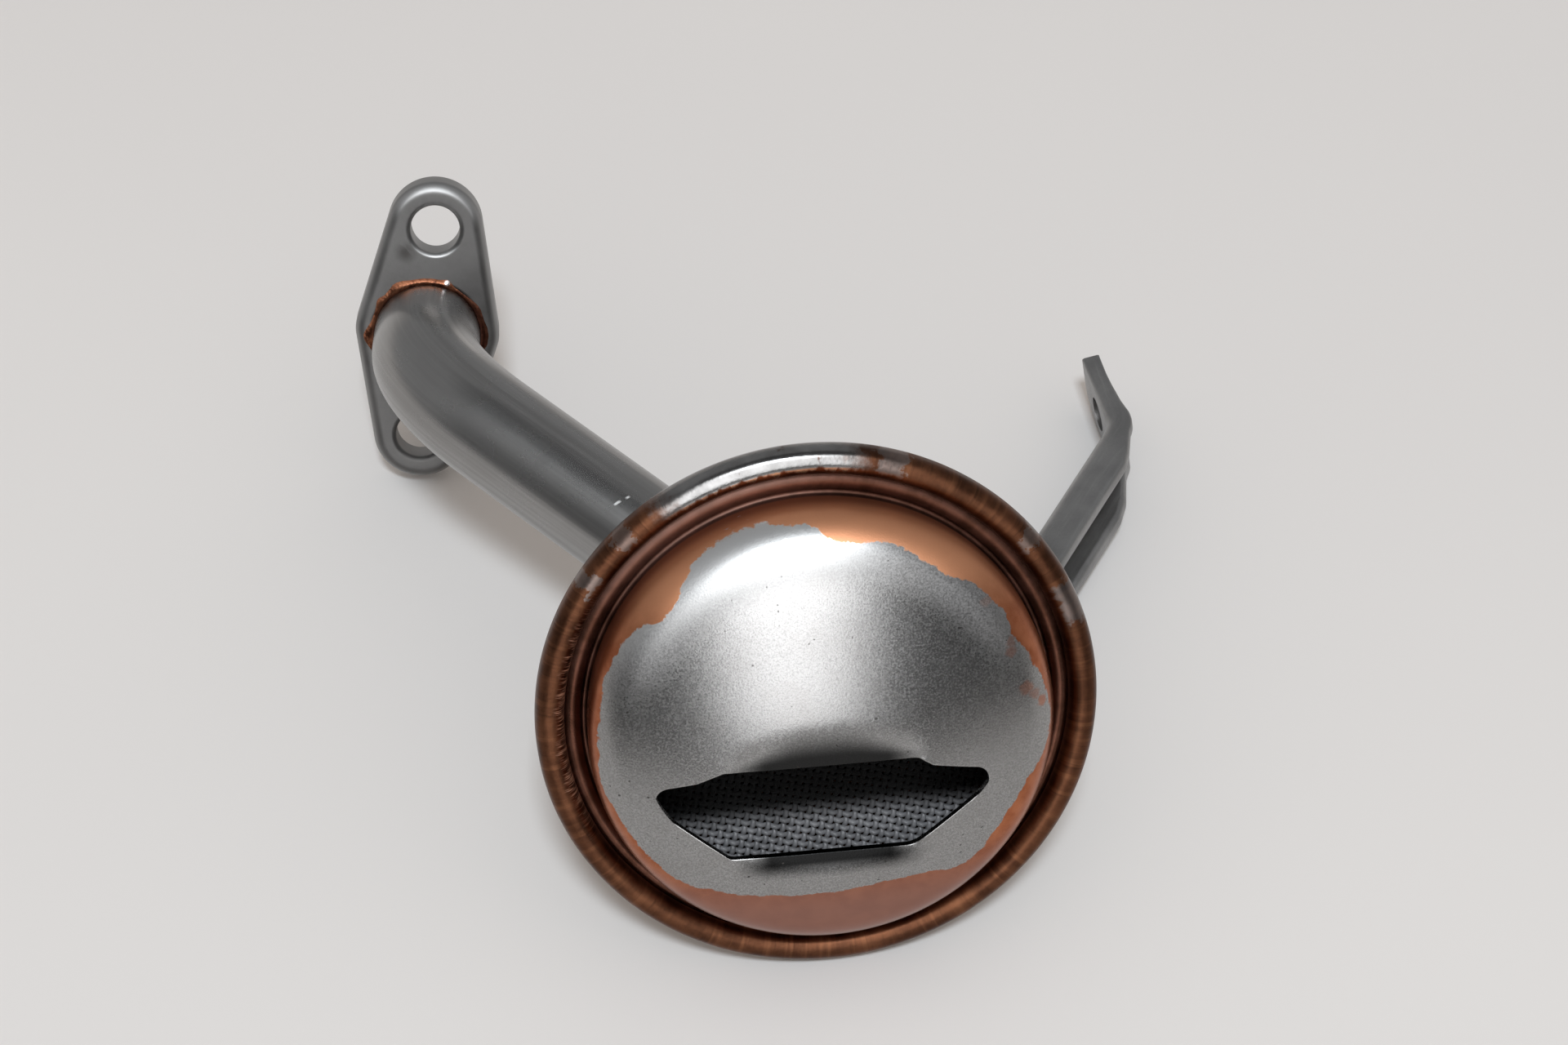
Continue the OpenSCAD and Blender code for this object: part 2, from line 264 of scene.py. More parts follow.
# Node trees
class Nodes:
    """Short calls for the nodes of a tree."""

    def __init__(self, tree):
        self.tree = tree

    def node(self, kind, **props):
        n = self.tree.nodes.new("ShaderNode" + kind)
        for key, val in props.items():
            setattr(n, key, val)
        return n

    def put(self, n, vals):
        """Links or sets sockets by name or number, and gives the node's first output."""
        for key, val in vals.items():
            sock = n.inputs[key]
            if isinstance(val, bpy.types.NodeSocket):
                self.tree.links.new(val, sock)
            elif val is not None:
                sock.default_value = (*val, 1.0) if sock.type == "RGBA" else val
        return n.outputs[0]

    def fill(self, n, *vals):
        """The same for the node's first sockets, in order."""
        return self.put(n, dict(enumerate(vals)))

    def xyz(self, vec):
        n = self.node("SeparateXYZ")
        self.fill(n, vec)
        return tuple(n.outputs)

    def vec(self, x, y, z):
        return self.fill(self.node("CombineXYZ"), x, y, z)

    def math(self, op, *vals):
        return self.fill(self.node("Math", operation=op), *vals)

    def total(self, *vals):
        return reduce(lambda a, b: self.math("ADD", a, b), vals)

    def times(self, *vals):
        return reduce(lambda a, b: self.math("MULTIPLY", a, b), vals)

    def most(self, *vals):
        return reduce(lambda a, b: self.math("MAXIMUM", a, b), vals)

    def less(self, a, b):
        return self.math("SUBTRACT", a, b)

    def off(self, val, at):
        """Distance of a value from a place, on either side."""
        return self.math("ABSOLUTE", self.less(val, at))

    def hypot(self, x, y):
        return self.math("SQRT", self.total(self.times(x, x), self.times(y, y)))

    def polar(self, x, y):
        """Distance from the axis, and angle round it from 0 to 1."""
        a = self.math("ARCTAN2", y, x)
        return self.hypot(x, y), self.math("MULTIPLY_ADD", a, 1 / (2 * math.pi), 0.5)

    def span(self, val, a, b, low=0.0, high=1.0, smooth=True):
        """Goes from low to high as a value goes from a to b."""
        kind = "SMOOTHSTEP" if smooth else "LINEAR"
        return self.fill(self.node("MapRange", interpolation_type=kind), val, a, b, low, high)

    def window(self, val, a, b, c, d):
        """1 from b to c, fading to 0 at a and at d."""
        return self.times(self.span(val, a, b), self.span(val, d, c))

    def spot(self, x, y, at, r, soft):
        """1 inside a round spot at a place of a plane, 0 outside."""
        d = self.hypot(self.less(x, at[0]), self.less(y, at[1]))
        return self.span(d, r - soft, r + soft, 1.0, 0.0)

    def curve(self, val, points):
        """Curve through (x, y) points in order, x and y from 0 to 1."""
        n = self.node("FloatCurve")
        c = n.mapping.curves[0].points
        c[0].location, c[1].location = points[0], points[-1]
        for p in points[1:-1]:
            c.new(*p)
        n.mapping.update()
        return self.put(n, {"Value": val})

    def noise(self, vec, scale, detail=2.0, rough=0.5):
        """Noise of so many features in a unit, with finer detail of some strength."""
        vals = {"Vector": vec, "Scale": scale, "Detail": detail, "Roughness": rough}
        return self.put(self.node("TexNoise"), vals)

    def swing(self, noise, size):
        """A noise as a shift to both sides of zero, of a size in all."""
        return self.math("MULTIPLY_ADD", noise, size, -size / 2)

    def spread(self, noise, low=0.0, high=1.0):
        """The range that most of a noise has, drawn out from low to high."""
        return self.span(noise, 0.3, 0.7, low, high)

    def mix(self, fac, a, b):
        """Colour between two colours."""
        n = self.node("Mix", data_type="RGBA")
        self.put(n, {0: fac, 6: a, 7: b})
        return n.outputs[2]

    def mottle(self, noise, dark, light):
        """Colour that a noise moves between two colours."""
        return self.mix(self.spread(noise), dark, light)

    def fmix(self, fac, a, b):
        """Number between two numbers."""
        return self.put(self.node("Mix", data_type="FLOAT"), {0: fac, 2: a, 3: b})


class Look(Nodes):
    """The node tree of a new material."""

    def __init__(self, name):
        self.mat = bpy.data.materials.new(name)
        self.mat.use_nodes = True
        super().__init__(self.mat.node_tree)
        self.bsdf = self.tree.nodes["Principled BSDF"]

    def attr(self, name):
        return self.node("Attribute", attribute_name=name).outputs["Vector"]

    def bump(self, height, deep, strength, normal=None):
        """Normal of a surface whose height goes up to deep millimetres."""
        vals = {"Strength": strength, "Distance": deep * MM, "Height": height, "Normal": normal}
        return self.put(self.node("Bump"), vals)

    def finish(self, color, rough, normal=None, metallic=1.0, specular=None):
        vals = {"Base Color": color, "Roughness": rough, "Normal": normal, "Metallic": metallic}
        self.put(self.bsdf, {**vals, "Specular IOR Level": specular})
        return self.mat


# Where the copper wash ends on the dome, as (x, y) in the strainer's frame
WASH_EDGE = [
    (-16.8, 31.2), (-12.5, 33.4), (-8.1, 34.6), (-4.2, 34.9), (0.1, 34.5), (3.2, 32.5), (10.8, 31.2),
    (14.6, 29.2), (18.2, 26.6), (24.2, 22.9), (27.6, 18.8), (29.0, 15.1), (31.2, 11.4), (33.4, 6.7),
    (34.9, 0.2), (34.2, -4.0), (31.2, -9.1), (26.8, -15.4), (21.5, -21.9), (13.6, -23.2), (4.5, -24.0),
    (-6.9, -24.6), (-18.1, -23.2), (-25.7, -19.8), (-32.0, -10.2), (-34.9, -2.0), (-33.4, 8.7),
    (-31.7, 14.7), (-26.9, 21.2), (-22.6, 23.3), (-20.2, 27.2),
]

# How ragged that edge is: features in a millimetre, size in millimetres
WASH_RAG = [(0.25, 1.0), (0.7, 1.0), (2.2, 0.5)]

# Drops of copper on the bare steel: place, size, strength
COPPER_DROPS = [
    ((28.6, 12.4), 0.9, 0.45), ((28.6, 14.0), 0.8, 0.4), ((30.8, 6.0), 1.1, 0.5),
    ((32.2, 4.8), 0.8, 0.4), ((33.4, 3.2), 0.8, 0.65), ((25.3, 20.7), 0.9, 0.22),
]

# Bare steel on the rolled rim: angle round the axis and half width in degrees, strength
BARE_PATCHES = [
    (100, 22, 1.0), (131, 2, 0.3), (143, 2, 0.4), (72, 3, 0.4), (38, 2, 0.35), (21, 5, 0.45),
]

# Scratches across the tube's run: place along it, ends across it, strength
SCRATCHES = [(67.4, 6.0, 6.8, 0.9), (67.2, 4.3, 5.6, 0.6)]


# Materials, painted in millimetres of the piece's own frame
def wash_mask(m, sp, r, turn, wavy):
    """1 on the cap's copper wash and its drops, 0 on bare steel."""
    curve_r, soft, drop_soft = 40.0, 0.12, 0.35
    edge = [(math.atan2(y, x) / (2 * math.pi) + 0.5, math.hypot(x, y) / curve_r) for x, y in WASH_EDGE]
    edge.sort()
    seam = (edge[0][1] + edge[-1][1]) / 2
    border = m.times(m.curve(turn, [(0.0, seam), *edge, (1.0, seam)]), curve_r)
    rag = m.total(*(m.swing(m.noise(sp, scale), size) for scale, size in WASH_RAG))
    wash = m.span(m.less(m.total(r, rag), border), -soft, soft)
    drops = [m.times(m.spot(*wavy, at, size, drop_soft), k) for at, size, k in COPPER_DROPS]
    return m.most(wash, *drops)


def cap_steel(m, sp, x, y, r, grain, wavy):
    """Colour of the dome's bare steel, with painted shade beside the slot and a painted highlight on the
    upper left.
    """
    dark, light, dull = (0.225, 0.222, 0.22), (0.37, 0.366, 0.362), (0.23, 0.219, 0.211)
    # pressed and deep are the colours of the painted shade beside the slot
    pressed, deep = (0.022, 0.022, 0.022), (0.006, 0.006, 0.006)
    # bright is the colour of a painted highlight on the knuckle
    pitted, bright = (0.04, 0.037, 0.035), (0.66, 0.657, 0.654)
    steel = m.mottle(grain, dark, light)
    cloud = m.noise(sp, 0.12, 3.0, 0.55)
    steel = m.mix(m.span(cloud, 0.4, 0.8, 0.0, 0.3), steel, dull)
    # painted shade beside the slot's long edges, where the pressed faces turn from the light: a dark lens
    # over the upper edge and a dark band along the lower edge
    slot_mid, lens_low = -0.6, 1.7
    across = m.off(x, slot_mid)
    ends = m.span(across, 9.0, 16.0, 1.0, 0.0)
    lens = m.span(across, 2.0, 15.0, 7.6, 1.6)
    above = m.span(m.math("DIVIDE", m.total(y, lens_low), lens), 0.2, 1.0, 0.98, 0.0)
    above = m.times(above, m.span(y, -6.0, -3.2))
    slot_shade_band = m.times(m.window(y, -21.8, -18.4, -15.0, -12.0), 0.99)
    steel = m.mix(m.times(above, ends), steel, pressed)
    steel = m.mix(m.times(slot_shade_band, ends), steel, deep)
    # small pits everywhere and a larger one at the top
    pit_at, pit_r, pit_soft = (-8.0, 34.2), 0.35, 0.4
    pits = m.span(m.noise(sp, 1.5, 0.0), 0.83, 0.86, 0.0, 0.8)
    steel = m.mix(m.most(pits, m.spot(*wavy, pit_at, pit_r, pit_soft)), steel, pitted)
    # painted highlight on the upper left, most of all on the knuckle
    painted_highlight = m.fmix(m.span(r, 28.0, 33.0), m.span(r, 14.0, 27.0, 0.0, 0.12), 1.0)
    painted_highlight = m.times(painted_highlight, m.span(y, 12.0, 27.0), m.span(x, 14.0, 0.0))
    return m.mix(painted_highlight, steel, bright)


def cap_copper(m, sp, x, y, z):
    """Colour of the cap's copper wash, brown on the side and the ring, with a painted highlight towards the
    top and a painted sheen on the ring's upper left.
    """
    dark, light = (0.30, 0.09, 0.037), (0.43, 0.155, 0.075)
    top, bottom, side = (0.76, 0.37, 0.205), (0.27, 0.148, 0.122), (0.245, 0.085, 0.045)
    ring_dark, ring_light, ring_sheen_color = (0.055, 0.025, 0.017), (0.10, 0.046, 0.033), (0.32, 0.19, 0.155)
    tone = m.noise(sp, 0.3, 4.0, 0.6)
    copper = m.mottle(tone, dark, light)
    # painted highlight: the copper is paler towards the top
    copper = m.mix(m.span(y, 16.0, 28.0, 0.0, 0.85), copper, top)
    copper = m.mix(m.span(y, -16.0, -29.0, 0.0, 0.8), copper, bottom)
    copper = m.mix(m.span(z, 6.0, 2.2, 0.0, 0.8), copper, side)
    ring = m.mix(m.span(tone, 0.35, 0.65), ring_dark, ring_light)
    # painted sheen on the ring's upper left
    ring_sheen = m.times(m.span(x, 10.0, -10.0), m.span(y, 18.0, 30.0, 0.0, 0.3))
    ring = m.mix(ring_sheen, ring, ring_sheen_color)
    return m.mix(m.span(z, 1.6, 0.9), copper, ring)


def cap_material():
    """Satin steel dome inside a copper wash with a ragged edge."""
    m = Look("cap_steel")
    sp = m.attr("sp")
    x, y, z = m.xyz(sp)
    r, turn = m.polar(x, y)
    wave = m.swing(m.noise(sp, 0.8), 1.6)
    wavy = m.total(x, wave), m.less(y, wave)
    grain = m.noise(sp, 3.2, 3.0, 0.75)
    wash = wash_mask(m, sp, r, turn, wavy)
    color = m.mix(wash, cap_steel(m, sp, x, y, r, grain, wavy), cap_copper(m, sp, x, y, z))
    rough = m.fmix(wash, m.spread(grain, 0.20, 0.30), m.span(y, 20.0, 29.0, 0.27, 0.36))
    # the upper knuckle is duller
    knuckle = m.times(m.span(r, 25.0, 31.0), m.span(y, 6.0, 18.0))
    rough = m.math("MULTIPLY_ADD", knuckle, 0.17, rough)
    normal = m.bump(grain, 0.04, 0.5)
    normal = m.bump(wash, 0.02, 0.4, normal)
    return m.finish(color, rough, normal)


def rim_bare(m, sp, r, turn, tone, wide):
    """1 where the outer side of the rim is worn to bare steel, with torn ends."""
    torn = m.swing(m.noise(sp, 0.55, 3.0, 0.7), 0.022)
    patches = []
    for deg, half, strength in BARE_PATCHES:
        away = m.total(m.off(turn, (deg / 360 + 0.5) % 1), torn)
        patches.append(m.span(away, half / 360 * 0.75, half / 360 * 1.1, strength, 0.0))
    out = m.total(m.less(r, RIM_R - ROLL_R), m.swing(wide, 3.0))
    blot = m.math("MULTIPLY_ADD", tone, 0.7, m.times(wide, 0.3))
    return m.times(m.most(*patches), m.span(out, -0.6, 0.1), m.span(blot, 0.34, 0.40))


def rim_material():
    """Brown copper wash of the rolled rim and the funnel."""
    dark, light, pale = (0.065, 0.027, 0.015), (0.145, 0.06, 0.031), (0.22, 0.095, 0.048)
    burnt, bright = (0.04, 0.019, 0.012), (0.56, 0.29, 0.19)
    steel_dark, steel_light = (0.20, 0.197, 0.194), (0.28, 0.277, 0.274)
    rim_round, across = 276.0, 0.06
    m = Look("rim_copper_wash")
    sp = m.attr("sp")
    x, y, z = m.xyz(sp)
    r, turn = m.polar(x, y)
    # noise that is drawn out across the roll
    around = m.vec(m.times(turn, rim_round), m.times(z, across), m.times(r, across))
    fine = m.noise(around, 2.6, 3.0, 0.6)
    hair = m.noise(around, 5.5, 2.0, 0.6)
    wide = m.noise(around, 0.7)
    tone = m.noise(sp, 0.18, 5.0, 0.6)
    copper = m.mottle(tone, dark, light)
    copper = m.mix(m.span(wide, 0.5, 0.7, 0.0, 0.4), copper, pale)
    copper = m.mix(m.span(fine, 0.55, 0.72, 0.0, 0.35), copper, burnt)
    steel = m.mix(m.span(tone, 0.35, 0.65), steel_dark, steel_light)
    bare = rim_bare(m, sp, r, turn, tone, wide)
    # bright strokes where the roll's inner edge was drawn in, on the left side
    left = m.times(m.span(x, -31.0, -37.5), m.span(y, -20.0, -6.0))
    ragged = m.math("MULTIPLY_ADD", wide, 2.6, r)
    inner = m.times(m.span(r, 39.0, 39.4), m.span(ragged, 42.4, 41.4))
    stroke = m.times(m.span(hair, 0.50, 0.62), inner, left)
    copper = m.mix(m.times(stroke, 0.7), copper, bright)
    color = m.mix(bare, copper, steel)
    rough = m.fmix(bare, m.spread(tone, 0.34, 0.46), 0.19)
    # wrinkles of the roll, strongest on the left side and weak on bare steel
    height = m.times(fine, m.span(x, 10.0, -34.0, 0.3, 1.0), m.fmix(bare, 1.0, 0.2))
    normal = m.bump(height, 0.06, 0.6)
    normal = m.bump(m.noise(sp, 1.8, 3.0), 0.03, 0.6, normal)
    metal = m.math("MULTIPLY_ADD", stroke, -0.9, 1.0)
    return m.finish(color, rough, normal, metal)


def tube_material():
    """Drawn grey steel with scratches and a painted highlight along the inside of the bend."""
    dark, light, streaked = (0.27, 0.266, 0.262), (0.34, 0.336, 0.332), (0.41, 0.405, 0.40)
    clouded, specked = (0.23, 0.222, 0.214), (0.16, 0.153, 0.147)
    scratched, bend_highlight_color = (0.85, 0.84, 0.83), (0.55, 0.54, 0.53)
    m = Look("tube_steel")
    tp = m.attr("tp")
    s, u, v = m.xyz(tp)
    drawn = m.vec(m.times(s, 0.03), u, v)
    streak = m.noise(drawn, 1.3, 4.0, 0.6)
    cloud = m.noise(tp, 0.09, 4.0, 0.6)
    speck = m.noise(tp, 1.6, 3.0, 0.7)
    color = m.mottle(m.noise(drawn, 0.35), dark, light)
    color = m.mix(m.span(streak, 0.35, 0.75, 0.0, 0.5), color, streaked)
    color = m.mix(m.span(cloud, 0.3, 0.8, 0.0, 0.25), color, clouded)
    color = m.mix(m.span(speck, 0.70, 0.78, 0.0, 0.2), color, specked)
    rough = m.spread(cloud, 0.26, 0.29)
    slant, fade, scratch_rough = -0.35, 0.4, 0.8
    along = m.total(s, m.times(v, slant))
    for at, v0, v1, strength in SCRATCHES:
        line = m.span(m.off(along, at), 0.12, 0.3, strength, 0.0)
        ends = m.window(v, v0, v0 + fade, v1 - fade, v1)
        line = m.times(line, ends, m.span(u, -2.0, -4.0))
        color = m.mix(line, color, scratched)
        rough = m.fmix(line, rough, scratch_rough)
    # painted highlight in a line along the inside of the bend
    bend_highlight_u = -1.2
    bend_highlight = m.times(m.span(m.off(u, bend_highlight_u), 0.3, 1.1, 0.6, 0.0), m.span(v, 6.0, 8.0))
    bend_highlight = m.times(bend_highlight, m.window(s, 5.0, 9.0, 26.0, 36.0))
    color = m.mix(bend_highlight, color, bend_highlight_color)
    return m.finish(color, rough, m.bump(streak, 0.05, 0.5))


def flange_material():
    """Dull grey steel with painted highlights on its rounded edges and sides, and one dark blot."""
    dark, light, grained = (0.108, 0.105, 0.103), (0.142, 0.139, 0.136), (0.085, 0.083, 0.081)
    side, painted_highlight, stained = (0.33, 0.326, 0.322), (0.38, 0.376, 0.372), (0.05, 0.047, 0.045)
    m = Look("flange_steel")
    fp = m.attr("fp")
    x, y, z = m.xyz(fp)
    cloud = m.noise(fp, 0.14, 4.0, 0.6)
    grain = m.noise(fp, 1.8, 4.0, 0.65)
    color = m.mottle(cloud, dark, light)
    color = m.mix(m.span(grain, 0.55, 0.8, 0.0, 0.35), color, grained)
    # the rounded edges and the sides are painted paler, a painted highlight
    color = m.mix(m.span(z, -0.05, -0.9, 0.0, 0.9), color, side)
    # painted highlights: the top of the outline and the lower lip of the upper hole
    top = m.times(m.span(y, 20.0, 25.0), m.window(z, -1.3, -0.7, -0.15, 0.0))
    lip = m.times(m.spot(x, y, (0.0, BOLT_SPACING / 2), 5.2, 0.3), m.span(y, 17.5, 15.2))
    lip = m.times(lip, m.window(z, -1.0, -0.6, -0.08, 0.0))
    color = m.mix(m.most(top, lip), color, painted_highlight)
    # a blot drawn out at a slant
    slant = m.vec(m.total(x, y), m.times(m.less(y, x), 0.3), z)
    blot = m.times(m.spot(x, y, (-4.9, 14.9), 1.3, 1.3), m.span(m.noise(slant, 0.5), 0.2, 0.45), 0.9)
    color = m.mix(blot, color, stained)
    return m.finish(color, m.spread(cloud, 0.46, 0.56), m.bump(grain, 0.04, 0.5))


def bracket_material():
    """Matt grey steel with faint streaks along the channel."""
    dark, light, streaked = (0.26, 0.257, 0.255), (0.34, 0.336, 0.332), (0.48, 0.475, 0.47)
    m = Look("bracket_steel")
    bp = m.attr("bp")
    grain = m.noise(bp, 2.0, 4.0, 0.65)
    s, u, v = m.xyz(bp)
    drawn = m.vec(m.times(s, 0.06), m.times(u, 0.8), m.times(v, 0.8))
    color = m.mottle(m.noise(bp, 0.10, 4.0, 0.6), dark, light)
    color = m.mix(m.span(m.noise(drawn, 1.4, 3.0), 0.5, 0.8, 0.0, 0.3), color, streaked)
    return m.finish(color, m.spread(grain, 0.36, 0.48), m.bump(grain, 0.04, 0.5))


def braze_material():
    """Lumpy dark copper with painted shade on one side and one painted glint."""
    dark, light = (0.07, 0.026, 0.015), (0.21, 0.085, 0.045)
    shaded, pale = (0.06, 0.022, 0.016), (0.85, 0.82, 0.82)
    m = Look("copper_braze")
    fp = m.attr("fp")
    x, y, _ = m.xyz(fp)
    tone = m.noise(fp, 0.5, 5.0, 0.65)
    color = m.mottle(tone, dark, light)
    # painted shade on one side
    color = m.mix(m.span(x, -1.0, 6.0, 0.0, 0.7), color, shaded)
    # painted glint: a small pale spot with low roughness
    glint = m.spot(x, y, (-1.2, 10.3), 0.35, 0.3)
    color = m.mix(glint, color, pale)
    rough = m.fmix(glint, m.spread(tone, 0.26, 0.44), 0.22)
    return m.finish(color, rough, m.bump(m.noise(fp, 1.1, 3.0, 0.6), 0.2, 0.6))


def wire_material():
    """Grey wire, dark and dull on the screen's upper part as a painted shadow of the slot's upper lip."""
    dark, light, lip_shadow_color = (0.21, 0.21, 0.22), (0.31, 0.31, 0.325), (0.003, 0.003, 0.003)
    m = Look("wire_steel")
    sp = m.attr("sp")
    tone = m.noise(sp, 0.4, 3.0, 0.6)
    # painted shadow of the slot's upper lip over the screen's upper part
    lip_shadow = m.span(m.xyz(sp)[1], -21.0, -16.0)
    color = m.mix(lip_shadow, m.mottle(tone, dark, light), lip_shadow_color)
    rough = m.fmix(lip_shadow, m.spread(tone, 0.34, 0.44), 0.95)
    return m.finish(color, rough, metallic=0.0, specular=0.4)


# The material of each slot of the record
LOOKS = {
    "steel_cap": cap_material(),
    "steel_copper_washed": rim_material(),
    "steel_tube": tube_material(),
    "steel_flange": flange_material(),
    "steel_bracket": bracket_material(),
    "copper_braze": braze_material(),
    "wire_screen": wire_material(),
}


# Inlet cap: corners of its slot, clockwise from the upper right, and their radii
SLOT = [
    (13.4, -1.9), (15.6, -3.5), (27.6, -6.6), (12.2, -17.3),
    (-15.9, -17.0), (-29.9, -5.3), (-20.2, -3.3), (-16.2, -1.6),
]
SLOT_ROUND = [0.7, 1.2, 2.4, 2.6, 1.6, 2.6, 4.0, 0.6]


def crown_at(d):
    """Height of the dome's crown at a distance from the axis."""
    return CROWN_Z + np.sqrt(CROWN_R**2 - np.asarray(d) ** 2)


def soft_min(a, b, k):
    """The lower of two heights, blended where they are about k apart."""
    h = np.clip(0.5 + 0.5 * (b - a) / k, 0, 1)
    return b * (1 - h) + a * h - k * h * (1 - h)


def valley(y, y_edge, reach):
    """Height of the face pressed in beside one long edge of the slot."""
    back_slope = 0.6
    edge_z = float(crown_at(math.hypot(y_edge, LIP_W / 2)))
    slope = (float(crown_at(y_edge + reach)) - edge_z) / abs(reach)
    away = (y - y_edge) * math.copysign(1, reach)
    return edge_z + np.where(away > 0, slope * away, -back_slope * away)


def dome_at(x, y):
    """Height of the dome with its pressed faces, which fade out past the slot's ends."""
    upper_soft, lower_soft = 1.3, 0.9
    fade_mid, fade_past, fade = -0.8, 1.5, 4.0
    crown = crown_at(np.hypot(x, y))
    pressed = soft_min(crown, valley(y, -SLOT_DROP, UPPER_LIP), upper_soft)
    pressed = soft_min(pressed, valley(y, -SLOT_DROP - SLOT_H, -LOWER_LIP), lower_soft)
    t = np.clip((LIP_W / 2 + fade_past - np.abs(x - fade_mid)) / fade, 0, 1)
    return crown + (pressed - crown) * t * t * (3 - 2 * t)


def dome_ring(xy, dz):
    """Ring of points on the dome, moved by a height."""
    return np.column_stack([xy, dome_at(xy[:, 0], xy[:, 1]) + dz])


def make_cap():
    n, rows, under_rows, crowd = 420, 44, 7, 1.35
    # rounding of the slot's edge on the outside and the inside
    lip, lip_mid, lip_under = 0.16, 0.05, 0.1
    loop = resample(rounded(SLOT, SLOT_ROUND), n)[::-1]
    step = np.roll(loop, -1, 0) - np.roll(loop, 1, 0)
    out = np.stack([step[:, 1], -step[:, 0]], 1)
    out /= np.linalg.norm(out, axis=1)[:, None]
    # the rings go over from the slot's outline to circles at round_r
    slot_mid, slot_half, round_r = (-1.2, -9.4), (25.4, 7.6), 29.0
    phi = (loop - slot_mid) / slot_half
    phi = np.unwrap(np.arctan2(phi[:, 1], phi[:, 0]))
    far = hoop(round_r, phi, 0)[:, :2]

    def between(near, i, count, dz):
        t = (i / count) ** crowd
        return dome_ring((1 - t) * near + t * far, dz)

    def start(r):
        """Angle at which an arc of the crown begins."""
        return math.degrees(math.acos(round_r / r))

    under = [dome_ring(loop + lip_under * out, -CAP_T), dome_ring(loop, -CAP_T + lip_under)]
    edge = [dome_ring(loop, -lip), dome_ring(loop + lip_mid * out, -lip_mid)]
    top = [between(loop + lip * out, i, rows, 0) for i in range(rows + 1)]
    # the ring is a little crowned between the groove and the roll
    ring_in, ring_w, ring_rise = DOME_R + 2 * GROOVE_R, 2.6, 0.45
    ring_t = np.linspace(0.06, 1, 11)
    outer = np.vstack([
        arc((0, CROWN_Z), CROWN_R, start(CROWN_R), KNUCKLE_END, 6)[1:],
        arc((CROWN_A, SIDE_H), KNUCKLE_R, KNUCKLE_END, 0, 16)[1:],
        [[DOME_R, 3.0], [DOME_R, 1.2]],
        arc((DOME_R + GROOVE_R, RING_Z), GROOVE_R, 180, 360, 10),
        np.stack([ring_in + ring_w * ring_t, RING_Z + ring_rise * np.sin(math.pi * ring_t)], 1),
        [[CAP_R, RING_Z], [CAP_R, -RING_Z], [DOME_R - CAP_T, -RING_Z]],
    ])
    inner_r = CROWN_R - CAP_T
    inner = np.vstack([
        arc((CROWN_A, SIDE_H), KNUCKLE_R - CAP_T, 0, KNUCKLE_END, 8),
        arc((0, CROWN_Z), inner_r, KNUCKLE_END, start(inner_r), 3)[1:],
    ])
    rings = under + edge + top + revolve(outer, phi) + revolve(inner, phi)
    for i in range(under_rows, 0, -1):
        rings.append(between(loop + lip_under * out, i, under_rows, -CAP_T))
    pts, faces = loft(rings, loop=True)
    piece("strainer_cap_dome", "strainer_cap", "steel_cap", lay(pts), faces, {"sp": pts}, sharp=50)


# Strainer housing: rolled rim and funnel
def cone_r(z, d):
    """Radius of the funnel, moved out by d, at a height."""
    return (BELL_R + d - (z + BELL_DEPTH) * math.sin(CONE_N)) / math.cos(CONE_N)


def cone_end(d):
    """Height at which that cone goes over into the round bottom."""
    return -BELL_DEPTH + (BELL_R + d) * math.sin(CONE_N)


def roll_front():
    """Outline of the rolled rim's front, which is pressed a little flat."""
    crest, half_in, square = 41.7, 2.3, 2.4
    a = np.radians(np.linspace(168, 0, 36))
    c, s = np.cos(a), np.sin(a)
    half = np.where(c < 0, half_in, RIM_R - crest)
    r = crest + half * np.sign(c) * np.abs(c) ** (2 / square)
    z = ROLL_R * np.abs(s) ** (2 / square)
    front = np.stack([r, z], 1)
    seat, free = 0.02, 0.1
    return np.vstack([[[r[0] - seat, RING_Z]], front[z > RING_Z + free], [[RIM_R, 0.0]]])


def make_housing():
    n, hole_n, hole_from, hole_to = 300, 96, 2.0, 40.0
    slope, neck, front = math.degrees(CONE_N), cone_r(-ROLL_R, 0), roll_front()
    bottom, crimp, neck_drop, inside_start = (0, -BELL_DEPTH), 0.25, 0.5, 0.6
    prof = np.vstack([
        front,
        arc((RIM_R - ROLL_R, 0.0), ROLL_R, -4, -88, 22),
        [[neck + 0.8, -ROLL_R + 0.02], [neck + 0.2, -ROLL_R - 0.15]],
        [[cone_r(z, 0), z] for z in np.linspace(-ROLL_R - neck_drop, cone_end(0), 24)],
        arc(bottom, BELL_R, slope, -90, 24)[1:],
        arc(bottom, BELL_R - HOUSING_T, -90, slope, 16),
        [[cone_r(z, -HOUSING_T), z] for z in np.linspace(cone_end(-HOUSING_T) + inside_start, SEAT_Z, 12)],
        [[CAP_R, SEAT_Z], [CAP_R, RING_Z], [front[0, 0] + crimp, RING_Z]],
    ])
    prof[:, 0] = np.maximum(prof[:, 0], 0.0)
    pts, faces = loft(revolve(prof, turns(n)), loop=True)
    obj = piece("strainer_housing_shell", "strainer_housing", "steel_copper_washed", lay(pts), faces,
                {"sp": pts}, sharp=50, merge=0.004)
    a = turns(hole_n)
    hp, hf = loft([hoop(TUBE_R + TUBE_GAP, a, z) for z in (hole_from, hole_to)], close_ends=True)
    cut(obj, lay(from_run(hp)), hf)


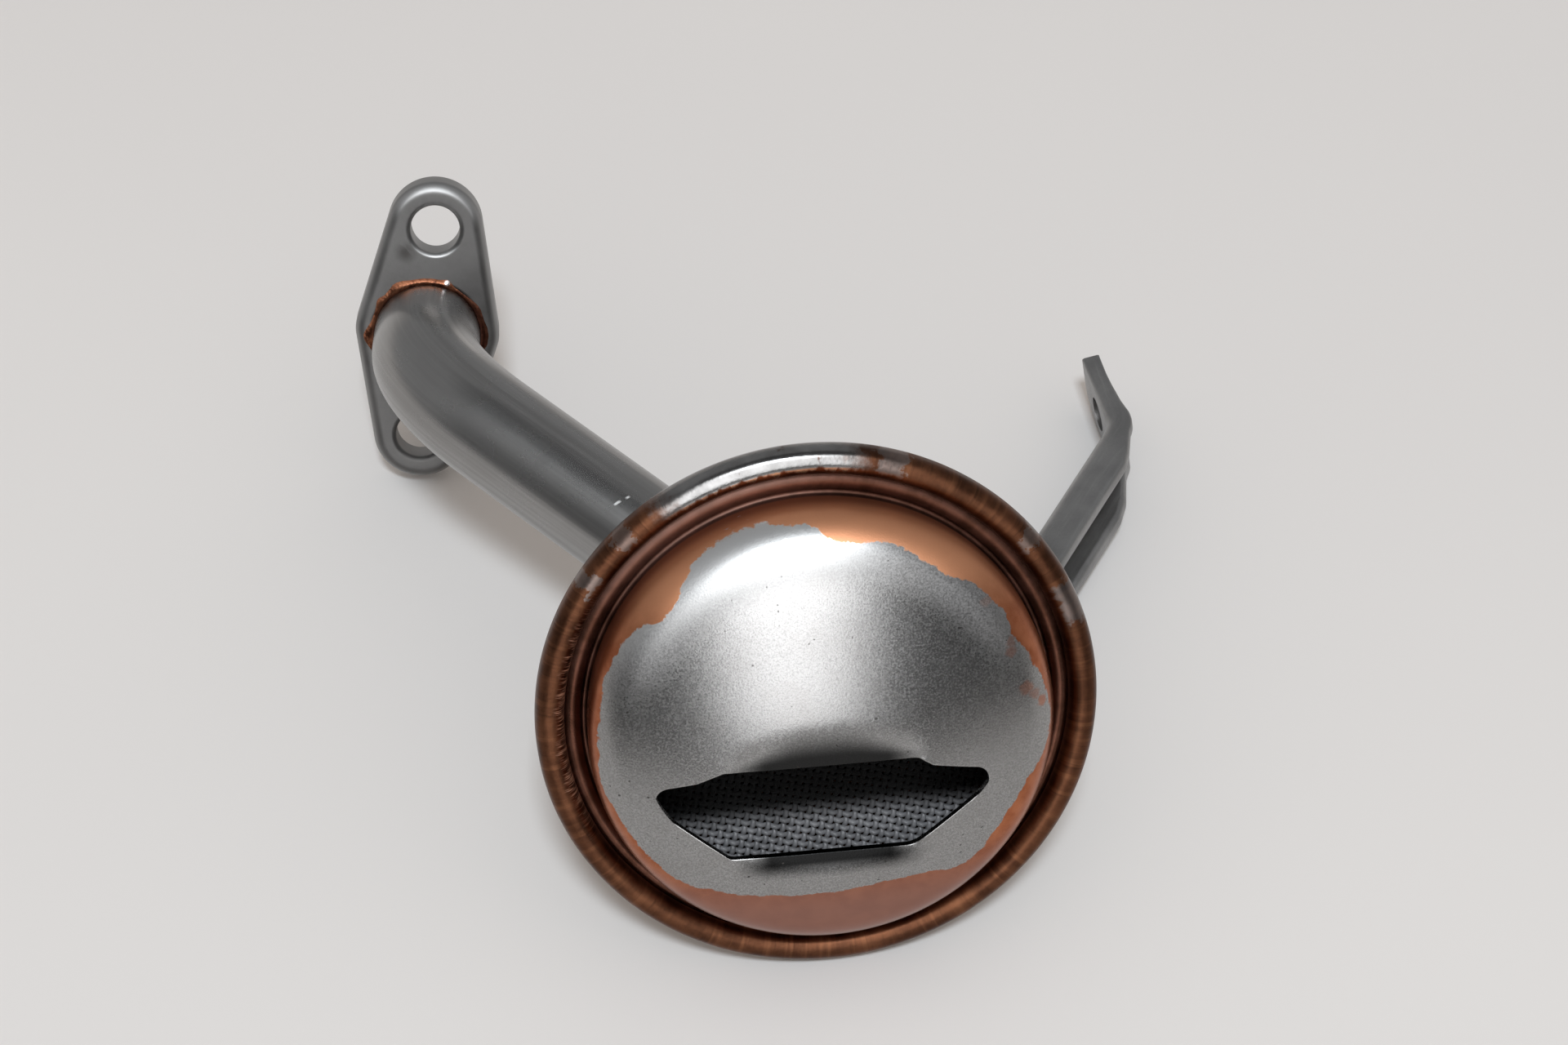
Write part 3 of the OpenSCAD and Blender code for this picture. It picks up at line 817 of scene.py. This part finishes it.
# Woven screen
def make_screen():
    pitch, wire, reach, sides, skew, sag, shortest = 1.22, 0.43, 40.6, 6, -14.0, 1.2, 2.0
    half = int(reach / pitch)
    pts, faces, k = [], [], 0
    a = turns(sides)
    section = wire * np.stack([np.zeros(sides), np.cos(a), np.sin(a)], 1)
    for way in (0, 1):
        for i in range(-half, half + 1):
            c = i * pitch
            span = math.sqrt(max(reach**2 - c * c, 0))
            if span < shortest:
                continue
            # the wire goes over and under its neighbours, with a point halfway between them
            j = np.arange(math.ceil(-span / pitch * 2), math.floor(span / pitch * 2) + 1)
            sign = np.where((j // 2 + i + way) % 2 == 0, 1.0, -1.0)
            z = np.where(j % 2 == 0, wire * sign, 0.0)
            path = np.column_stack([j * pitch / 2, np.full(len(j), c), z])
            ring = path[:, None] + section
            if way:
                ring = ring[:, :, [1, 0, 2]]
            p = ring.reshape(-1, 3)
            bow = 1 - (p[:, 0] ** 2 + p[:, 1] ** 2) / DOME_R**2
            p[:, 2] += -sag * np.clip(bow, 0, 1) + SEAT_Z + SCREEN_T / 2
            pts.append(p)
            end = k + sides * (len(path) - 1)
            for q in range(k, end, sides):
                faces += band(q, q + sides, sides)
            faces.append(tuple(range(k, k + sides)))
            faces.append(tuple(range(end + sides - 1, end - 1, -1)))
            k += len(p)
    pts = np.concatenate(pts) @ rot("Z", skew).T
    piece("strainer_screen_weave", "strainer_screen", "wire_screen", lay(pts), faces, {"sp": pts})


# Tube
def make_tube():
    n, bend_n, run_n = 96, 36, 22
    seat, chamfer, run_short = 0.5, 0.25, 8.0
    a = turns(n)
    start, bend_end = seat - FLANGE_T, STUB_L + BEND_R * BEND

    def station(s, r):
        """Ring at arc length s from the flange's face, in the flange's frame and rolled out flat."""
        cx, cy = r * np.cos(a), r * np.sin(a)
        flat = np.stack([np.full(n, s), cx, cy], 1)
        if s <= STUB_L:
            return np.stack([cx, cy, np.full(n, s)], 1), flat
        t = min((s - STUB_L) / BEND_R, BEND)
        more = max(s - bend_end, 0.0)
        out, on = np.array([math.cos(t), -math.sin(t)]), np.array([math.sin(t), math.cos(t)])
        mid = np.array([BEND_R, STUB_L]) - BEND_R * out + more * on
        return np.stack([mid[0] + cx * out[0], cy, mid[1] + cx * out[1]], 1), flat

    stops = [start + chamfer, start + 1.0, 0.0, STUB_L * 0.5]
    stops += list(np.linspace(STUB_L, bend_end, bend_n))
    stops += list(np.linspace(bend_end, bend_end + RUN_L - run_short, run_n)[1:])
    bore_r = TUBE_R - TUBE_WALL
    rings = [station(s, TUBE_R) for s in stops]
    rings += [station(s, bore_r) for s in stops[::-1]]
    rings += [station(start, bore_r + chamfer), station(start, TUBE_R - chamfer)]
    pts, faces = loft([ring for ring, _ in rings], loop=True)
    flat = np.concatenate([flat for _, flat in rings])
    pts = lay(from_flange(pts))
    piece("pickup_tube_bent", "pickup_tube", "steel_tube", pts, faces, {"tp": flat}, sharp=40)


# Flange
def flange_loop(d, end_n=40, mid_n=14):
    """Outline moved in by d, and always with the same number of points."""
    h, m = BOLT_SPACING / 2, FLANGE_W / 2 - FLANGE_MID_R
    a = math.degrees(math.atan2(m, h) + math.asin((FLANGE_MID_R - FLANGE_END_R) / math.hypot(m, h)))
    side, end = arc((m, 0), FLANGE_MID_R - d, -a, a, mid_n), arc((0, h), FLANGE_END_R - d, a, 180 - a, end_n)
    return np.vstack([side, end, -side, -end])


def flat_fill(outer, holes, z):
    """Triangles of a flat face with round holes, as points and index triples."""
    verts, edges = [], []
    for loop in [outer] + holes:
        k = len(verts)
        verts += [Vector(p) for p in loop]
        edges += [(k + i, k + (i + 1) % len(loop)) for i in range(len(loop))]
    vs, _, tris, *_ = delaunay_2d_cdt(verts, edges, [], 1, 1e-6)
    pts = np.array([(v[0], v[1], z) for v in vs])

    def outside(at, loop):
        mid = loop.mean(0)
        return np.hypot(*(at - mid)) > np.hypot(*(loop[0] - mid)) * 0.999

    return pts, [tuple(t) for t in tris if all(outside(pts[list(t)].mean(0)[:2], hole) for hole in holes)]


def round_edge(r, n):
    """Inset and depth of n points round an edge, from the flat face to the side."""
    return [(r * (1 - math.sin(q)), r * (1 - math.cos(q))) for q in np.radians(np.linspace(0, 90, n))]


def make_flange():
    front, back, hole_front, hole_back = 2.0, 0.35, 0.95, 0.2
    bolt, hole_n = BOLT_R - 0.12, 72
    pts, faces = [], []

    def add(p, f):
        k = sum(len(q) for q in pts)
        pts.append(np.asarray(p))
        faces.extend(tuple(i + k for i in t) for t in f)

    def at_height(loop, z):
        return np.column_stack([loop, np.full(len(loop), z)])

    side = [(d, -z) for d, z in round_edge(front, 11)]
    side += [(d, -FLANGE_T + z) for d, z in round_edge(back, 4)[::-1]]
    add(*loft([at_height(flange_loop(d), z) for d, z in side]))
    holes = [((0, BOLT_SPACING / 2), bolt), ((0, -BOLT_SPACING / 2), bolt), ((0, 0), TUBE_R + TUBE_GAP)]
    tops, bottoms = [], []
    for c, r in holes:
        walls = [(r + d, -z) for d, z in round_edge(hole_front, 8)]
        walls += [(r, -FLANGE_T + hole_back), (r + hole_back, -FLANGE_T)]
        rings = [at_height(arc(c, wall_r, 0, 360, hole_n)[:-1], z) for wall_r, z in walls]
        add(*loft(rings))
        tops.append(rings[0][:, :2])
        bottoms.append(rings[-1][:, :2])
    add(*flat_fill(flange_loop(front), tops, 0.0))
    add(*flat_fill(flange_loop(back), bottoms, -FLANGE_T))
    p = np.concatenate(pts)
    spin = rot("Z", 180 - REACH_TURN - FLANGE_TURN)
    placed = lay(from_flange(p @ spin.T))
    obj = piece("mounting_flange_plate", "mounting_flange", "steel_flange", placed, faces, {"fp": p},
                sharp=60, merge=0.002)
    mod = obj.modifiers.new("weight", "WEIGHTED_NORMAL")
    mod.keep_sharp = True


# Brazes
def make_flange_braze():
    n, rows, hollow, root = 180, 8, 0.12, -0.3
    a = turns(n)
    # runs and drops of the braze: angle and spread in degrees, extra leg in millimetres
    runs = [
        (210, 12, 1.1), (172, 7, 0.8), (148, 13, 0.9), (118, 12, 0.35),
        (97, 6, 0.8), (55, 14, 0.5), (25, 16, 0.7),
    ]
    swell = sum(k * np.exp(-(((np.degrees(a) - at + 180) % 360 - 180) / w) ** 2) for at, w, k in runs)
    leg_out = 0.75 + swell + 0.2 * wobble(n, 24, 3) + 0.08 * wobble(n, 60, 4)
    leg_up = 0.8 + 0.6 * swell + 0.15 * wobble(n, 20, 5) + 0.06 * wobble(n, 60, 6)
    rings = []
    for w in np.linspace(0, math.pi / 2, rows):
        dip = 1 - hollow * math.sin(2 * w)
        rings.append(hoop(TUBE_R + leg_out * (1 - math.sin(w)) * dip, a, leg_up * (1 - math.cos(w)) * dip))
    rings += [hoop(TUBE_R, a, root), hoop(TUBE_R + TUBE_GAP, a, root)]
    pts, faces = loft(rings, loop=True)
    placed = lay(from_flange(pts))
    piece("flange_braze_bead", "flange_braze", "copper_braze", placed, faces, {"fp": pts}, sharp=70)


def bell_out(p, d=0.0):
    """Distance outside the housing's surface moved out by d, for points in the strainer's frame."""
    r, z = np.hypot(p[..., 0], p[..., 1]), p[..., 2] + BELL_DEPTH
    c, s = math.cos(CONE_N), math.sin(CONE_N)
    return np.where(-r * s + z * c > 0, r * c + z * s, np.hypot(r, z)) - BELL_R - d


def halve(low, high, above):
    """Heights between two bounds at which a test stops being true, found by halving."""
    for _ in range(50):
        mid = (low + high) / 2
        ok = above(mid)
        low, high = np.where(ok, mid, low), np.where(ok, high, mid)
    return low


def make_housing_braze():
    n, rows, lift, root, sink = 180, 9, 0.02, 1.6, 0.4
    a = turns(n)

    def meet(r):
        """Height along the run where a line at radius r leaves the housing, for each angle."""
        return halve(np.full(n, 0.0), np.full(n, 60.0), lambda z: bell_out(from_run(hoop(r, a, z))) < 0)

    leg = 1.9 + 0.4 * wobble(n, 10, 11) + 0.1 * wobble(n, 40, 12)
    up = 2.0 + 0.5 * wobble(n, 9, 13)
    base, foot = meet(TUBE_R), meet(TUBE_R + leg)
    rings = []
    for w in np.linspace(0, math.pi / 2, rows):
        k = 1 - math.cos(w)
        z = foot + (base + up - foot) * k + (base - foot) * (1 - k) * math.sin(w) * 0.5
        rings.append(hoop(TUBE_R + leg * (1 - math.sin(w)) + lift, a, z))
    rings += [hoop(TUBE_R, a, base - root), hoop(TUBE_R + TUBE_GAP, a, base - root)]
    rings.append(hoop(TUBE_R + leg, a, foot - sink))
    pts, faces = loft(rings, loop=True)
    placed = lay(from_run(pts))
    piece("housing_braze_bead", "housing_braze", "copper_braze", placed, faces, {"fp": pts}, sharp=70)


# Bracket: width of the channel's upper and lower edge at places along it, from the bend
TAB_EDGE = 3.3
TOP_EDGE = np.array([
    (-200, STRAP_W), (-9, STRAP_W), (-6, 7.2), (-2.5, 5.8), (0.5, 4.6), (4, 3.9), (9, 3.45),
    (12, TAB_EDGE), (40, TAB_EDGE),
])
LOW_EDGE = np.array([
    (-200, STRAP_W), (-13.5, STRAP_W), (-9, 7.0), (-5.5, 5.4), (-2.5, 4.0), (0.5, TAB_EDGE), (40, TAB_EDGE),
])


def channel_section(w_top, w_bot, z_low):
    """Closed outline of the channel in its (y, z) plane for given edge widths."""
    t, h, least = STRAP_T, STRAP_H, 0.05

    def fold(w):
        """Radii of the outer fold and of the free edge, which shrink as an edge runs out."""
        more = max(w - t, least)
        return 0.6 + 2.8 * min(more / 2.5, 1.0), 0.45 + 0.7 * min(more / 2.0, 1.0), more

    def tip(w, z0, sgn):
        """Round free edge of one flange, from its outer side to its inner side."""
        _, r0, more = fold(w)
        r1 = min(r0, 0.85 * more)
        a = arc((-t - more + r0, z0 + sgn * r0), r0, -90 * sgn, -180 * sgn, 4)
        b = arc((-t - more + r1, z0 + sgn * t - sgn * r1), r1, 180 * sgn, 90 * sgn, 4)
        return np.vstack([a, b])

    def inner(w, z0, sgn):
        """Inside of the fold between web and flange."""
        r = min(0.5, 0.1 * max(w - t, least))
        return arc((-t - r, z0 + sgn * (t + r)), r, -90 * sgn, 0, 4)

    r_bot, r_top = fold(w_bot)[0], fold(w_top)[0]
    section = np.vstack([
        tip(w_bot, 0.0, 1)[::-1],
        arc((-r_bot, r_bot), r_bot, -90, 0, 8),
        arc((-r_top, h - r_top), r_top, 0, 90, 8),
        tip(w_top, h, -1),
        inner(w_top, h, -1),
        inner(w_bot, 0.0, 1)[::-1],
    ])
    section[:, 1] = z_low + section[:, 1] * (h - z_low) / h
    return section


def strap_stations():
    """Places along the bracket: length from the bend, point in plan, and turn."""
    bend_in, tip_l, tip_end = 2.2, 6.5, 0.97
    cut_l = bend_in * math.tan(TURN / 2)
    straight = TAB_L - cut_l
    for s in [*np.linspace(-STRAP_L, -16, 40), *np.linspace(-15, -cut_l, 18)]:
        yield s, np.array([s, 0.0]), 0.0
    for t in np.linspace(0, 1, 11)[1:]:
        d = TURN * t
        at = np.array([-cut_l + bend_in * math.sin(d), bend_in * (1 - math.cos(d))])
        yield -cut_l + 2 * cut_l * t, at, d
    tab = list(np.linspace(0, straight - tip_l, 10)[1:])
    tab += [straight - tip_l + tip_l * math.sin(q) for q in np.linspace(0, math.pi / 2 * tip_end, 14)[1:]]
    for more in tab:
        s = cut_l + more
        yield s, np.array([math.cos(TURN), math.sin(TURN)]) * s, TURN


def make_bracket():
    hole_n, hole_out, hole_in, sharp = 64, 3.0, -8.0, 40
    rings, flats = [], []
    for s, at, d in strap_stations():
        past = max(s - (TAB_L - TIP_R), 0)
        z_low = TIP_R - math.sqrt(max(TIP_R**2 - past**2, 0.0))
        section = channel_section(np.interp(s, *TOP_EDGE.T), np.interp(s, *LOW_EDGE.T), z_low)
        left = np.array([-math.sin(d), math.cos(d)])
        rings.append(np.column_stack([at + section[:, :1] * left, section[:, 1]]))
        flats.append(np.column_stack([np.full(len(section), s), section]))
    pts, faces = loft(rings, close_ends=True)
    obj = piece("support_bracket_channel", "support_bracket", "steel_bracket", from_strap(pts), faces,
                {"bp": np.concatenate(flats)}, sharp=sharp)
    a = turns(hole_n)
    x, z = TAB_HOLE_L + TAB_HOLE_R * np.cos(a), TIP_R + TAB_HOLE_R * np.sin(a)
    hp, hf = loft([np.stack([x, np.full(hole_n, y), z], 1) for y in (hole_out, hole_in)], close_ends=True)
    cut(obj, from_strap(hp @ rot("Z", TAB_TURN).T), hf)
    # the housing's outside, so that the channel ends against it
    cone_top, cone_n = -3.5, 120
    prof = np.vstack([
        [[0.01, cone_top], [cone_r(cone_top, PAD_BRAZE), cone_top]],
        arc((0, -BELL_DEPTH), BELL_R + PAD_BRAZE, math.degrees(CONE_N), -89.9, 12),
    ])
    cp, cf = loft(revolve(prof, turns(cone_n)), close_ends=True)
    cut(obj, lay(cp), cf)
    shade(obj.data, sharp)


def on_cone(x, y, d):
    """Height in the bracket's frame where an upright line meets the housing moved out by d."""

    def outside(z):
        return bell_out(unlay(from_strap(np.stack([x, y, z], -1))), d) > 0

    return halve(np.full(x.shape, -2.0), np.full(x.shape, 34.0), outside)


def cone_patch(name, node, slot, key, ends, sides, depths, ragged=0.0, seed=0):
    """Pad that lies on the housing's cone between two offsets, with round edges."""
    nu, nv, edge_r, edge_t = 64, 28, 1.1, 0.55
    (x0, x1), (y0, y1), (d_in, d_out) = ends, sides, depths
    u, v = np.meshgrid(np.linspace(0, 1, nu), np.linspace(0, 1, nv), indexing="ij")
    x, y = x0 + (x1 - x0) * u, y0 + (y1 - y0) * v
    edge = np.minimum(np.minimum(u, 1 - u) * (x1 - x0), np.minimum(v, 1 - v) * (y1 - y0))
    if ragged:
        x = x + (u - 0.5) * ragged * wobble(nv, 9, seed)[None]
        y = y + (v - 0.5) * 2 * ragged * wobble(nu, 16, seed + 1)[:, None]
    fall = np.clip(edge / edge_r, 0, 1)
    depth = d_in + (d_out - d_in) * (edge_t + (1 - edge_t) * np.sqrt(1 - (1 - fall) ** 2))
    lower = np.stack([x, y, on_cone(x, y, depth)], -1)
    upper = np.stack([x, y, on_cone(x, y, np.full_like(x, d_in))], -1)
    pts = np.concatenate([lower.reshape(-1, 3), upper.reshape(-1, 3)])
    k = nu * nv
    index = np.arange(k).reshape(nu, nv)
    quads = np.stack([index[:-1, :-1], index[1:, :-1], index[1:, 1:], index[:-1, 1:]], -1).reshape(-1, 4)
    faces = [*quads, *(quads[:, ::-1] + k)]
    rim = [*index[:, 0], *index[-1, 1:], *index[-2::-1, -1], *index[0, -2:0:-1]]
    faces += [(a, b, b + k, a + k) for a, b in zip(rim, rim[1:] + rim[:1])]
    piece(name, node, slot, from_strap(pts), faces, {key: pts}, sharp=60)


# Floor, light and camera
def make_floor():
    half, dark, light = 4.0, (0.80, 0.80, 0.805), (0.84, 0.84, 0.84)
    m = Look("floor_paper")
    at = m.node("TexCoord").outputs["Object"]
    m.finish(m.mottle(m.noise(at, 2.0, 3.0), dark, light), 0.7, metallic=0.0, specular=0.2)
    me = bpy.data.meshes.new("floor")
    corners = [(-half, -half, 0), (half, -half, 0), (half, half, 0), (-half, half, 0)]
    me.from_pydata(corners, [], [(0, 1, 2, 3)])
    me.materials.append(m.mat)
    add_object("floor", me)


def make_world():
    """Even warm light, and for metal to mirror a plain room with one soft box."""
    front_wall, back_wall, ceiling = 0.10, 0.35, 0.11
    box_level, box_mid, box_low, box_high, box_soft = 3.6, -0.03, 0.18, 0.27, 0.07
    ambient, backdrop = 0.50, 0.66
    ambient_tint, room_tint = (1.0, 0.90, 0.82), (0.985, 0.99, 1.0)
    world = bpy.data.worlds.new("studio")
    scene.world = world
    world.use_nodes = True
    m = Nodes(world.node_tree)
    x, y, z = m.xyz(m.node("TexCoord").outputs["Generated"])
    up = m.math("ARCSINE", z)
    # walls paler to the back and sides, darker in front and overhead
    walls = m.span(y, -0.75, 0.1, front_wall, back_wall)
    room = m.fmix(m.span(up, *np.radians((50, 72))), walls, ceiling)
    # tall soft box in front that reaches overhead, wider at its top
    half = m.span(up, *np.radians((6, 45)), box_low, box_high, smooth=False)
    side = m.span(m.less(m.off(x, box_mid), half), -box_soft, box_soft, 1.0, 0.0)
    box = m.times(side, m.span(up, *np.radians((4, 9))), m.span(y, -0.30, -0.16, 1.0, 0.0), box_level)
    path = m.node("LightPath").outputs
    level = m.fmix(path["Is Glossy Ray"], ambient, m.total(room, box))
    level = m.fmix(path["Is Camera Ray"], level, backdrop)
    tint = m.mix(path["Is Glossy Ray"], ambient_tint, room_tint)
    m.put(m.tree.nodes["Background"], {"Strength": level, "Color": tint})
    world.cycles.sampling_method = "NONE"


def make_key_lamp():
    at = Vector((-0.042, -0.602, 1.414))
    data = bpy.data.lights.new("key", "AREA")
    data.shape = "SQUARE"
    data.size = 0.25
    data.energy = 10.6
    data.color = (0.885, 0.95, 1.0)
    obj = add_object("key", data)
    obj.location = at
    obj.rotation_euler = (-at).to_track_quat("-Z", "Y").to_euler()


def make_camera():
    """Camera at the photograph's angle: down and to the side in degrees, place in millimetres."""
    pitch, turn = math.radians(50.209), math.radians(6.702)
    at = Vector((-33.07 + REST_SHIFT[0], -236.14 + REST_SHIFT[1], 370.59)) * MM
    data = bpy.data.cameras.new("camera")
    data.sensor_fit = "HORIZONTAL"
    data.sensor_width = 36.0
    data.lens = 60.0
    obj = add_object("camera", data)
    obj.matrix_world = Matrix.LocRotScale(at, Euler((math.pi / 2 - pitch, 0, -turn)), None)
    scene.camera = obj


make_cap()
make_housing()
make_screen()
make_tube()
make_flange()
make_flange_braze()
make_housing_braze()
make_bracket()
cone_patch(
    "support_bracket_foot", "support_bracket", "steel_bracket", "bp",
    (-STRAP_L - 14, -STRAP_L + 8), (-STRAP_W + 0.4, -0.4), (PAD_BRAZE, PAD_BRAZE + STRAP_T),
)
cone_patch(
    "bracket_braze_bead", "bracket_braze", "copper_braze", "fp",
    (-STRAP_L - 15.4, -STRAP_L + 9.4), (-STRAP_W - 1.2, 1.2), (0.0, PAD_BRAZE), ragged=0.5, seed=21,
)
make_floor()
make_world()
make_key_lamp()
make_camera()
scene.view_settings.view_transform = "Standard"
